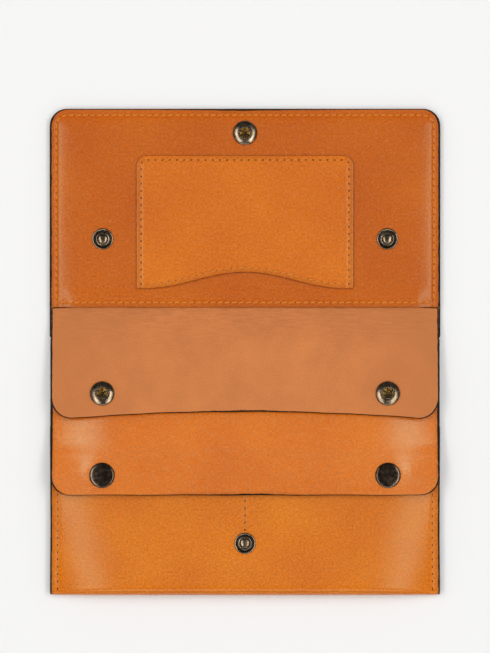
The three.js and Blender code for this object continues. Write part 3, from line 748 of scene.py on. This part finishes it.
def card_mid(x, y):
    """Height of the card flap's middle: level at its tab, then rising towards the free edge."""
    start = CARD_HINGE[1] - 0.4
    rise = np.maximum(start + TAB_BEND - y, 0) ** 2 / (4 * TAB_BEND)
    z = CARD_TAB_MID + CARD_SLOPE * np.where(start - y > TAB_BEND, start - y, rise)
    along = 1 - smooth(-4, 11, y)
    z = z - 1.3 * smooth(60, 99, np.abs(x)) ** 1.3 * smooth(-4, 30, -y) * (1 - 0.5 * smooth(28, 40, -y))
    waves = np.sin(y * 1.9 + 0.7 * np.sin(x / 19.0)) * (0.6 + 0.4 * np.sin(x / 33.0 + 1.0))
    z = z + 0.05 * waves * smooth(-6, 4, y) * (1 - smooth(10, 14, y))
    z = z + 0.16 * ripple(0.8 * x, y, 9) * along
    return settle(z, x, y, CARD_SNAPS, CARD_SNAP_Z + CARD_SLOPE * (CARD_SNAP_Y - y), 9.0)


# ---------------------------------------------------------------- leather pieces


def panel(half_width, rows, from_edge, radius, mid_height, step=1.3):
    """Middle points of a sheet with one rounded end."""
    columns = spaced(-half_width, half_width, step)
    scale = 1 - corner_inset(from_edge(rows), radius) / half_width
    x = columns[None, :] * scale[:, None]
    y = np.repeat(rows[:, None], len(columns), axis=1)
    return np.stack([x, y, mid_height(x, y)], axis=2)


def finish_piece(piece, body, slot, *nodes):
    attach(piece, body)
    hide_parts(*nodes)


def blend_piece(piece, bodies, start, end, slot, *nodes):
    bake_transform(piece)
    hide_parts(*nodes)


BULGE = 0.3  # how far a rounded leather edge stands out
CREASE_REACH = np.array([0, 5.0, 0])  # a distance on each side of a crease


def make_outer_cover():
    top = COVER_TOP - BULGE
    high = corner_rows(top, COVER_RADIUS, -1)[::-1]
    rows = np.concatenate([spaced(0, high[0], 1.0, False, False)[:-1], high])
    half = COVER_HIGH[0] - BULGE
    mid = panel(half, rows, lambda y: top - y, COVER_RADIUS, lambda x, y: 0 * x + OUTER / 2)
    inset = cover_inset(mid[..., 0], mid[..., 1])
    mid[..., 2] += 0.12 * bell(inset - COVER_SEAM, 0.9)
    piece = leather_sheet("outer_cover", mid, OUTER, [PLAIN_FLESH, OUTER_GRAIN, DARK_EDGE], cut=("start",))
    start, end = COVER_CREASE - CREASE_REACH, COVER_CREASE + CREASE_REACH
    blend_piece(piece, ("spine", "cover"), start, end, "outer_leather", "cover_panel")


def pouch_corner(x):
    return 0.15 * (np.maximum(np.abs(x) - 92.3, 0) / 5.0) ** 2


def make_outer_pouch():
    """One sheet: half the spine, the back, the bottom fold and the front."""
    right = spaced(0, POUCH_HIGH[0] - BULGE, 1.5)
    columns = np.concatenate([-right[:0:-1], right])
    x = columns[None, :]
    half = OUTER / 2
    fold_top = mix(FRONT_RIM, POUCH_DEPTH, fullness(x)) - half
    radius = (fold_top - half) / 2
    fold_y = POUCH_BOTTOM + pouch_corner(x) + radius + half
    t = np.linspace(0, 1, 90)[:, None]
    back_y = mix(0.0, fold_y, t)
    back = np.stack([x + 0 * back_y, back_y, half + 0 * back_y], axis=2)
    turn = np.linspace(0, math.pi, 23)[1:-1, None]
    turned_y = fold_y - radius * np.sin(turn)
    turned_z = half + radius - radius * np.cos(turn)
    fold = np.stack([x + 0 * turn, turned_y, turned_z], axis=2)
    rows = spaced(0, 1, 0.02, False, False)
    mouth = FRONT_TOP_Y - BULGE
    near = mouth - EDGE_STEPS[::-1]
    front_y = np.concatenate([mix(fold_y, near[0], rows[:-1, None]), near[:, None] + 0 * x])
    wide = x + 0 * front_y
    front = np.stack([wide, front_y, front_top(wide, front_y) - half], axis=2)
    mid = np.concatenate([back, fold, front])
    narrow = 1 - 0.0035 * smooth(-40, -128, mid[..., 1]) * np.sin(np.pi * smooth(-128, -40, mid[..., 1]))
    mid[..., 0] *= narrow
    walked = run_lengths(mid, 0)[0]
    coordinates = np.stack([mid[..., 0], -walked], axis=2)
    finishes = [OUTER_GRAIN, PLAIN_FLESH, DARK_EDGE]
    piece = leather_sheet("outer_pouch", mid, OUTER, finishes, coordinates, cut=("start",))
    start, end = SPINE_CREASE - CREASE_REACH, SPINE_CREASE + CREASE_REACH
    blend_piece(piece, ("pouch", "spine"), start, end, "outer_leather", "pouch_shell", "spine_panel")


def make_lining():
    top = COVER_TOP - BULGE - 0.25
    high = corner_rows(top, COVER_RADIUS, -1)[::-1]
    before = np.arange(high[0] - 12, high[0], 0.8)
    rows = np.concatenate([spaced(LINING_FOOT + 0.2, before[0], 1.1, True, False)[:-1], before, high])
    half = COVER_HIGH[0] - BULGE - 0.25
    mid = panel(half, rows, lambda y: top - y, COVER_RADIUS, lambda x, y: lining_top(x, y) - LINING / 2, 1.1)
    finishes = [LINING_SKIN, PLAIN_FLESH, DARK_EDGE, TAN_EDGE]
    piece = leather_sheet("lining", mid, LINING, finishes, bulge=0.2)
    finish_piece(piece, "cover", "lining_leather", "cover_lining")


def make_patch():
    top = PATCH_HIGH[1] - BULGE
    low = PATCH_LOW[1] + BULGE
    high = corner_rows(top, PATCH_RADIUS, -1, 12)[::-1]
    rows = np.concatenate([spaced(low, high[0], 1.0, True, False)[:-1], high])
    half = PATCH_HIGH[0] - BULGE

    def place(x, y):
        return y + (mouth_edge(x) - PATCH_LOW[1]) * (1 - smooth(low, low + 40, y))

    mid = panel(half, rows, lambda y: top - y, PATCH_RADIUS, lambda x, y: 0 * x, 1.0)
    mid[..., 1] = place(mid[..., 0], mid[..., 1])
    mid[..., 2] = patch_top(mid[..., 0], mid[..., 1]) - PATCH / 2
    piece = leather_sheet("card_patch_leather", mid, PATCH, [PATCH_SKIN, PLAIN_FLESH, TAN_EDGE])
    finish_piece(piece, "cover", "patch_leather", "card_patch")


CARD_SPLIT = 8.5  # where the card flap's tab ends and the part that swings begins


def make_card_tab():
    """The card flap's root, sewn under the foot of the lining."""
    half = CARD_HIGH[0] - BULGE
    columns = spaced(-half, half, 1.3)
    rows = spaced(CARD_SPLIT, CARD_TAB_END, 0.3, False, False)
    x, y = np.meshgrid(columns, rows)
    shoulder = CARD_HINGE[1] + 3.85
    x = x * (1 - (1 - CARD_TAB_HIGH[0] / half) * smooth(shoulder, shoulder + 0.45, rows))[:, None]
    mid = np.stack([x, y, card_mid(x, y)], axis=2)
    piece = leather_sheet("card_flap_tab_leather", mid, FLAP, [FLESH, GRAIN, DARK_EDGE], cut=("start",))
    finish_piece(piece, "cover", "flesh_leather", "card_flap_tab")
    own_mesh(piece)


def make_card_flap():
    half = CARD_HIGH[0] - BULGE
    columns = spaced(-half, half, 1.3)
    low = corner_rows(0, CARD_RADIUS, 1)
    span = CARD_SPLIT - CARD_CENTRE_EDGE
    bend = np.arange(span - 4.0, span + 0.01, 0.2)
    rows = np.concatenate([low, spaced(low[-1], bend[0], 0.8, False, False)[1:-1], bend])
    inset = corner_inset(rows, CARD_RADIUS)
    x = columns[None, :] * (1 - inset[:, None] / half)
    edge = card_edge(x) + BULGE
    y = edge + rows[:, None] * (CARD_SPLIT - edge) / span
    mid = np.stack([x, y, card_mid(x, y)], axis=2)
    piece = leather_sheet("card_flap_leather", mid, FLAP, [FLESH, GRAIN, DARK_EDGE], cut=("end",))
    bodies = ("card_flap_root", "card_flap")
    start = (0, CARD_SPLIT, CARD_TAB_MID)
    end = (0, CARD_SPLIT - 3.2, CARD_TAB_MID)
    blend_piece(piece, bodies, start, end, "flesh_leather", "card_flap", "card_flap_bend")


def make_pouch_flap():
    """The tab on the back, the bend round the hinge and the flap over the pouch, in one sheet."""
    half = FLAP_HIGH[0] - BULGE
    columns = spaced(-half, half, 1.3)
    tab = FLAP_TAB_HIGH[2] - FLAP_TAB_LOW[2]
    tab_z = (FLAP_TAB_LOW[2] + FLAP_TAB_HIGH[2]) / 2
    root_y = FLAP_HINGE[1] - 1.0
    root_z = FLAP_ROOT_Z + 0.15 - FLAP / 2
    middle = (tab_z + root_z) / 2
    reach = (root_z - tab_z) / 2
    turn = np.linspace(0.12, math.pi - 0.12, 14)
    tab_y = np.linspace(FLAP_TAB_LOW[1], FLAP_TAB_HIGH[1], 12)
    path_y = np.concatenate([tab_y, FLAP_TAB_HIGH[1] + 1.3 * reach * np.sin(turn)])
    path_z = np.concatenate([0 * tab_y + tab_z, middle - reach * np.cos(turn)])
    path = [np.repeat(values[:, None], len(columns), axis=1) for values in (path_y, path_z)]
    root = np.stack([np.repeat(columns[None, :], len(path_y), axis=0)] + path, axis=2)
    edge = FLAP_LOW[1] + BULGE
    low = corner_rows(edge, FLAP_RADIUS, 1)
    rows = np.concatenate([low, spaced(low[-1], root_y, 0.9, False, False)[1:]])[::-1]
    inset = corner_inset(rows - edge, FLAP_RADIUS)
    x = columns[None, :] * (1 - inset[:, None] / half)
    y = rows[:, None] + 0.1 * np.sin(x / 6.1) * (1 - smooth(edge, edge + 6, rows[:, None]))
    flap = np.stack([x, y, flap_top(x, y) - FLAP / 2], axis=2)
    mid = np.concatenate([root, flap])
    bent = np.linspace(tab, FLAP, len(turn))
    thickness = np.concatenate([0 * tab_y + tab, bent, 0 * rows + FLAP])
    walked = run_lengths(mid, 0)[0]
    coordinates = np.stack([mid[..., 0], -walked], axis=2)
    finishes = [PLAIN_FLESH, GRAIN, DARK_EDGE]
    piece = leather_sheet("pouch_flap_leather", mid, thickness, finishes, coordinates)
    start = (0, FLAP_HINGE[1], FLAP_TAB_HIGH[2] + 0.03)
    end = (0, FLAP_HINGE[1], FLAP_TAB_HIGH[2] + 0.25)
    blend_piece(piece, ("pouch", "pouch_flap"), start, end, "outer_leather", "pouch_flap", "pouch_flap_tab")


def make_slip():
    half = SLIP_HIGH[0] - BULGE
    columns = spaced(-half, half, 2.0)
    rows = spaced(SLIP_LOW[1] + BULGE, SLIP_HIGH[1] - BULGE, 1.5, False, True)
    x, y = np.meshgrid(columns, rows)
    rim = OUTER + 0.05 + SLIP / 2
    middle = front_middle(y) - OUTER - 0.9 - SLIP / 2
    mid = np.stack([x, y, mix(rim, middle, fullness(x))], axis=2)
    piece = leather_sheet("card_slip_leather", mid, SLIP, [PLAIN_FLESH, PLAIN_FLESH, TAN_EDGE], bulge=0.2)
    finish_piece(piece, "pouch", "flesh_leather", "card_slip")


# ---------------------------------------------------------------- snaps


UP = 0.0
DOWN = math.pi

CAP_PROFILE = rounded_profile(
    [
        (0, -0.02), (5.95, -0.02), (6.3, 0.1), (6.34, 0.36), (6.18, 0.66), (5.75, 0.92), (5.1, 1.05),
        (4.2, 1.12), (2.4, 1.18), (0, 1.2),
    ]
)
SOCKET_PROFILE = rounded_profile(
    [
        (0, -0.02), (5.75, -0.02), (6.1, 0.2), (6.1, 0.7), (5.75, 1.1), (4.9, 1.45), (3.9, 1.75),
        (3.2, 1.84), (3.05, 1.72), (2.95, 1.98), (2.8, 2.08), (2.64, 1.96), (2.6, 1.42), (3.62, 1.36),
        (3.62, 0.42), (3.2, 0.4), (0, 0.4),
    ]
)
STUD_PROFILE = rounded_profile(
    [
        (0, -0.02), (5.0, -0.02), (5.32, 0.16), (5.32, 0.5), (5.1, 0.8), (4.75, 0.88), (4.4, 0.66),
        (4.1, 0.24), (3.55, 0.16), (3.35, 0.36), (3.05, 0.46), (2.7, 0.4), (2.1, 0.38), (1.95, 0.8),
        (2.28, 1.15), (2.38, 1.42), (2.2, 1.72), (1.6, 1.92), (0.85, 2.05), (0, 2.1),
    ]
)


def dark_bands(profile, low, high):
    """Material 1 for the steps of a profile that lie between two radii and below the head."""
    bands = []
    for a, b in zip(profile[:-1], profile[1:]):
        radius = (a[0] + b[0]) / 2
        bands.append(1 if low < radius < high and max(a[1], b[1]) < 0.7 else 0)
    return bands


STUD_BANDS = dark_bands(STUD_PROFILE, 3.3, 4.8)


def snap_part(name, profile, place, turn, body, node):
    """A cap, a stud or a socket. Each socket has its brass leaves."""
    plating = CAP_BRONZE if profile is CAP_PROFILE else BRONZE
    bands = STUD_BANDS if profile is STUD_PROFILE else None
    piece = turned(name, profile, place, turn, [plating, DARK_METAL], bands)
    finish_piece(piece, body, "bronze_snap", node)
    if profile is SOCKET_PROFILE:
        petals(name.replace("socket", "petals"), place, turn, body)


def petals(name, place, turn, body):
    """Brass leaves in the bottom of a socket, turned up where they meet its wall."""
    section = [(0.7, 0.43), (1.5, 0.46), (2.3, 0.5), (2.75, 0.72), (3.05, 1.05), (3.2, 1.3)]
    spread = np.radians(np.linspace(-23, 23, 9))
    vertices, faces = [], []
    for leaf in range(6):
        for height in (0.0, 0.07):
            for radius, z in section:
                for angle in spread:
                    a = leaf * math.pi / 3 + angle * (0.72 + 0.28 * smooth(0.8, 2.4, radius))
                    vertices.append((radius * math.cos(a), radius * math.sin(a), z + height))
        size = len(section) * len(spread)
        low = leaf * 2 * size + np.arange(size).reshape(len(section), len(spread))
        high = low + size
        for i in range(len(section) - 1):
            for j in range(len(spread) - 1):
                faces.append([high[i, j], high[i + 1, j], high[i + 1, j + 1], high[i, j + 1]])
                faces.append([low[i, j + 1], low[i + 1, j + 1], low[i + 1, j], low[i, j]])
        border = np.concatenate([low[0, :-1], low[:-1, -1], low[-1, :0:-1], low[:0:-1, 0]])
        for a, b in zip(border, np.roll(border, -1)):
            faces.append([a, a + size, b + size, b])
    points = tilted(np.array(vertices), turn, place)
    piece = make_object(name, points, [[int(v) for v in face] for face in faces], [BRASS])
    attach(piece, body)


def make_snaps():
    flesh = card_place(CARD_REACH, CARD_FLESH)
    grain = card_place(CARD_REACH, CARD_FLESH + FLAP)
    inward = CARD_TURN - math.pi
    for side, x in (("left", COVER_STUDS[0][0]), ("right", COVER_STUDS[1][0])):
        under = (x, SNAP_Y, FLAP_TOP - FLAP)
        parts = (
            ("stud_cover_", STUD_PROFILE, (x, COVER_STUDS[0][1], LINING_TOP), UP, "cover", "cover_stud_"),
            ("stud_front_", STUD_PROFILE, (x, SNAP_Y, FRONT_SNAP), UP, "pouch", "front_stud_"),
            ("cap_flap_", CAP_PROFILE, (x, SNAP_Y, FLAP_TOP), UP, "pouch_flap", "pouch_flap_cap_"),
            ("socket_flap_", SOCKET_PROFILE, under, DOWN, "pouch_flap", "pouch_flap_socket_"),
            ("socket_card_", SOCKET_PROFILE, (x, *flesh), inward, "card_flap", "card_flap_socket_"),
            ("cap_card_", CAP_PROFILE, (x, *grain), CARD_TURN, "card_flap", "card_flap_cap_"),
        )
        for name, profile, place, turn, body, node in parts:
            snap_part(name + side, profile, place, turn, body, node + side)
    snap_part("stud_front_center", STUD_PROFILE, (0, STUD_Y, FRONT_STUD), UP, "pouch", "front_stud_center")
    snap_part("socket_cover", SOCKET_PROFILE, (0, COVER_SOCKET[1], LINING_TOP), UP, "cover", "cover_socket")
    snap_part("cap_cover", CAP_PROFILE, (0, COVER_SOCKET[1], 0), DOWN, "cover", "cover_cap")


# ---------------------------------------------------------------- stitching


def straight(start, end):
    return np.array([start, end], float)


def horseshoe(half_width, low, high, radius):
    """Up the left side, round the two corners and down the right side."""
    turn = np.linspace(0, math.pi / 2, 12)
    left = np.stack([-half_width + radius * (1 - np.cos(turn)), high - radius * (1 - np.sin(turn))], axis=1)
    right = left[::-1] * [-1, 1]
    return np.concatenate([[[-half_width, low]], left, right, [[half_width, low]]])


def evenly(path):
    """Points along a path, one pitch apart as near as its length allows."""
    steps = np.linalg.norm(np.diff(path, axis=0), axis=1)
    walked = np.concatenate([[0], np.cumsum(steps)])
    count = int(round(walked[-1] / PITCH))
    at = np.linspace(0, walked[-1], count + 1)
    return np.stack([np.interp(at, walked, path[:, k]) for k in (0, 1)], axis=1)


def surface_frame(points, height):
    """Points on a surface and its normals there."""
    x, y = points[:, 0], points[:, 1]
    d = 0.2
    slope_x = (height(x + d, y) - height(x - d, y)) / (2 * d)
    slope_y = (height(x, y + d) - height(x, y - d)) / (2 * d)
    normal = np.stack([-slope_x, -slope_y, np.ones_like(x)], axis=1)
    normal /= np.linalg.norm(normal, axis=1, keepdims=True)
    return np.column_stack([x, y, height(x, y)]), normal


def beads(centre, along, normal, length, width, depth, arch, around=10, rings=9):
    """Rounded beads lying on a surface, arched by an amount over their length."""
    side = np.cross(normal, along)
    side /= np.linalg.norm(side, axis=1, keepdims=True)
    t = -np.cos(np.linspace(0, math.pi, rings))[1:-1]
    size = (1 - t**4) ** 0.5
    angle = np.linspace(0, 2 * math.pi, around, endpoint=False)
    a = t[:, None] * length / 2 + 0 * angle
    b = size[:, None] * np.cos(angle) * width / 2
    c = size[:, None] * np.sin(angle) * depth / 2 + arch * (1 - t[:, None] ** 2)
    local = np.stack([a, b, c], axis=2).reshape(-1, 3)
    local = np.concatenate([local, [[-length / 2, 0, 0], [length / 2, 0, 0]]])
    axes = np.stack([along, side, normal], axis=1)
    points = centre[:, None, :] + np.einsum("pk,nkc->npc", local, axes)
    faces = []
    inner = len(t)
    for i in range(inner - 1):
        for j in range(around):
            k = (j + 1) % around
            faces.append([i * around + j, (i + 1) * around + j, (i + 1) * around + k, i * around + k])
    first, last = inner * around, inner * around + 1
    for j in range(around):
        k = (j + 1) % around
        faces.append([first, j, k])
        faces.append([last, (inner - 1) * around + k, (inner - 1) * around + j])
    per = len(local)
    all_faces = []
    for n in range(len(centre)):
        all_faces += [[v + n * per for v in face] for face in faces]
    return points.reshape(-1, 3), all_faces


def flattened(direction, normal):
    """The part of each direction that lies in its surface."""
    return direction - normal * np.sum(direction * normal, axis=1, keepdims=True)


SLANT = math.radians(8)  # how far each stitch lies off the line of its seam
STITCH_LENGTH = 3.0
STITCH_WIDTH = 0.82
STITCH_DEPTH = 0.5
STITCH_ARCH = 0.26


def stitched(name, path, height, body, hole, below, node):
    """A run of stitches with near-black beads of painted hole shade at the awl holes between them, on a
    surface and, if below is given, under another.
    """
    holes = evenly(path)
    middles = (holes[:-1] + holes[1:]) / 2
    steps = np.diff(holes, axis=0)
    steps = np.column_stack([steps, np.zeros(len(steps))])
    steps /= np.linalg.norm(steps, axis=1, keepdims=True)
    slanted = steps.copy()
    slanted[:, 0] = steps[:, 0] * math.cos(SLANT) - steps[:, 1] * math.sin(SLANT)
    slanted[:, 1] = steps[:, 0] * math.sin(SLANT) + steps[:, 1] * math.cos(SLANT)
    across = np.concatenate([steps, steps[-1:]])
    sides = [(height, 1)]
    if below is not None:
        sides.append((below, -1))
    parts, faces, indices = [], [], []
    start = 0
    for surface, sign in sides:
        centre, normal = surface_frame(middles, surface)
        normal = normal * sign
        along = flattened(slanted, normal)
        along /= np.linalg.norm(along, axis=1, keepdims=True)
        sunk = centre - normal * 0.12
        thread = beads(sunk, along, normal, STITCH_LENGTH, STITCH_WIDTH, STITCH_DEPTH, STITCH_ARCH)
        centre, normal = surface_frame(holes, surface)
        normal = normal * sign
        along = flattened(across, normal)
        long, wide = 0.95 * hole, 0.72 * hole
        # A flat near-black bead at each awl hole: painted shade in place of a real hole.
        hole_shade_beads = beads(centre - normal * 0.02, along, normal, long, wide, 0.2, 0, 8, 7)
        for material, (points, found) in enumerate((thread, hole_shade_beads)):
            parts.append(points)
            faces += [[v + start for v in face] for face in found]
            indices += [material] * len(found)
            start += len(points)
    piece = make_object(name, np.concatenate(parts), faces, [THREAD, HOLE_SHADE], indices)
    finish_piece(piece, body, "thread", node)


def underside(x, y):
    return 0 * x


def tab_top(x, y):
    return 0 * x + FLAP_TAB_HIGH[2]


def make_stitching():
    inset = COVER_HIGH[0] - COVER_SEAM
    foot = FOOT_SEAM + 1.5
    cover = horseshoe(inset, foot, COVER_TOP - COVER_SEAM, COVER_RADIUS - COVER_SEAM)
    stitched("stitches_cover", cover, lining_top, "cover", 0.6, underside, "cover_edge_thread")
    reach = inset - 1.6
    path = straight((-reach, FOOT_SEAM), (reach, FOOT_SEAM))
    stitched("stitches_foot", path, lining_top, "cover", 0.55, underside, "lining_foot_thread")

    side = PATCH_HIGH[0] - PATCH_SEAM
    low, high = mouth_edge(side) + PATCH_SEAM, PATCH_HIGH[1] - PATCH_SEAM
    patch = horseshoe(side, low, high, PATCH_RADIUS - PATCH_SEAM)
    stitched("stitches_patch", patch, patch_top, "cover", 1.15, None, "patch_thread")
    x = np.linspace(-side + 3.2, side - 3.2, 60)
    mouth = np.stack([x, mouth_edge(x) + PATCH_SEAM], axis=1)
    stitched("stitches_patch_mouth", mouth, patch_top, "cover", 0.55, None, "patch_mouth_thread")

    low, high = box_mm("side_thread_right")
    for name, x in (("left", -SIDE_SEAM), ("right", SIDE_SEAM)):
        path = straight((x, low[1] + 0.4), (x, high[1] - 0.4))
        stitched("stitches_side_" + name, path, front_top, "pouch", 1.15, underside, "side_thread_" + name)
    low, high = box_mm("center_thread")
    path = straight((0, low[1] + 0.4), (0, high[1] - 0.4))
    stitched("stitches_center", path, front_top, "pouch", 1.1, None, "center_thread")
    low, high = box_mm("pouch_flap_thread")
    y = (low[1] + high[1]) / 2
    path = straight((low[0] + 0.4, y), (high[0] - 0.4, y))
    stitched("stitches_flap_root", path, tab_top, "pouch", 0.8, underside, "pouch_flap_thread")


# ---------------------------------------------------------------- the whole wallet


def finish_kept_nodes():
    """The CAD pieces that are shown as they are get their metal or board."""
    finishes = {"eyelet": BRASS, "spring": BRASS, "stiffener": BOARD}
    for name, node in frame["nodes"].items():
        for word, material in finishes.items():
            if word in name:
                node.data.materials.clear()
                node.data.materials.append(material)


make_outer_cover()
make_outer_pouch()
make_lining()
make_patch()
make_card_tab()
make_card_flap()
make_pouch_flap()
make_slip()
make_snaps()
make_stitching()
finish_kept_nodes()


# ---------------------------------------------------------------- floor, light and camera


def floor():
    mesh = bpy.data.meshes.new("floor")
    half = 6.0
    corners = [(-half, -half, 0), (half, -half, 0), (half, half, 0), (-half, half, 0)]
    mesh.from_pydata(corners, [], [[0, 1, 2, 3]])
    piece = bpy.data.objects.new("floor", mesh)
    piece.location.z = -1.2 * MM
    bpy.context.scene.collection.objects.link(piece)
    material = bpy.data.materials.new("pale_floor")
    material.use_nodes = True
    surface = material.node_tree.nodes["Principled BSDF"]
    surface.inputs["Base Color"].default_value = (0.86, 0.86, 0.86, 1)
    surface.inputs["Roughness"].default_value = 0.9
    surface.inputs["Specular IOR Level"].default_value = 0.1
    mesh.materials.append(material)


def softbox(name, place, width, height, power, reflected=True, lights=True):
    """A rectangular light that faces the wallet. It can be left out of reflections or seen in them alone."""
    light = bpy.data.lights.new(name, "AREA")
    light.shape = "RECTANGLE"
    light.size = width
    light.size_y = height
    light.energy = power
    piece = bpy.data.objects.new(name, light)
    piece.location = place
    piece.rotation_euler = (-Vector(place)).to_track_quat("-Z", "Y").to_euler()
    piece.visible_glossy = reflected
    piece.visible_diffuse = lights
    bpy.context.scene.collection.objects.link(piece)


def studio_world(fill, reflected):
    """An even fill light that is darker in reflections, so that the metal keeps its depth."""
    world = bpy.data.worlds.new("studio")
    world.use_nodes = True
    tree = world.node_tree
    background = tree.nodes["Background"]
    background.inputs["Color"].default_value = (1.0, 0.985, 0.965, 1)
    path = tree.nodes.new("ShaderNodeLightPath")
    strength = tree.nodes.new("ShaderNodeMapRange")
    strength.inputs["To Min"].default_value = fill
    strength.inputs["To Max"].default_value = reflected
    tree.links.new(path.outputs["Is Glossy Ray"], strength.inputs["Value"])
    tree.links.new(strength.outputs["Result"], background.inputs["Strength"])
    bpy.context.scene.world = world


def camera():
    data = bpy.data.cameras.new("camera")
    data.lens = 176.4
    data.sensor_width = 36
    piece = bpy.data.objects.new("camera", data)
    piece.location = (0.0, 0.0055, 1.6)
    bpy.context.scene.collection.objects.link(piece)
    bpy.context.scene.camera = piece


floor()
softbox("left_softbox", (-0.76, -0.15, 1.5), 1.5, 0.40, 7.4)
softbox("right_softbox", (0.76, -0.15, 1.5), 1.5, 0.40, 7.4)
softbox("top_softbox", (0, 0.45, 1.85), 1.6, 1.6, 12.7, reflected=False)
softbox("front_reflector", (0, -1.25, 0.8), 1.4, 0.3, 5.0, lights=False)
studio_world(0.40, 0.05)
camera()
bpy.context.scene.view_settings.view_transform = "Standard"
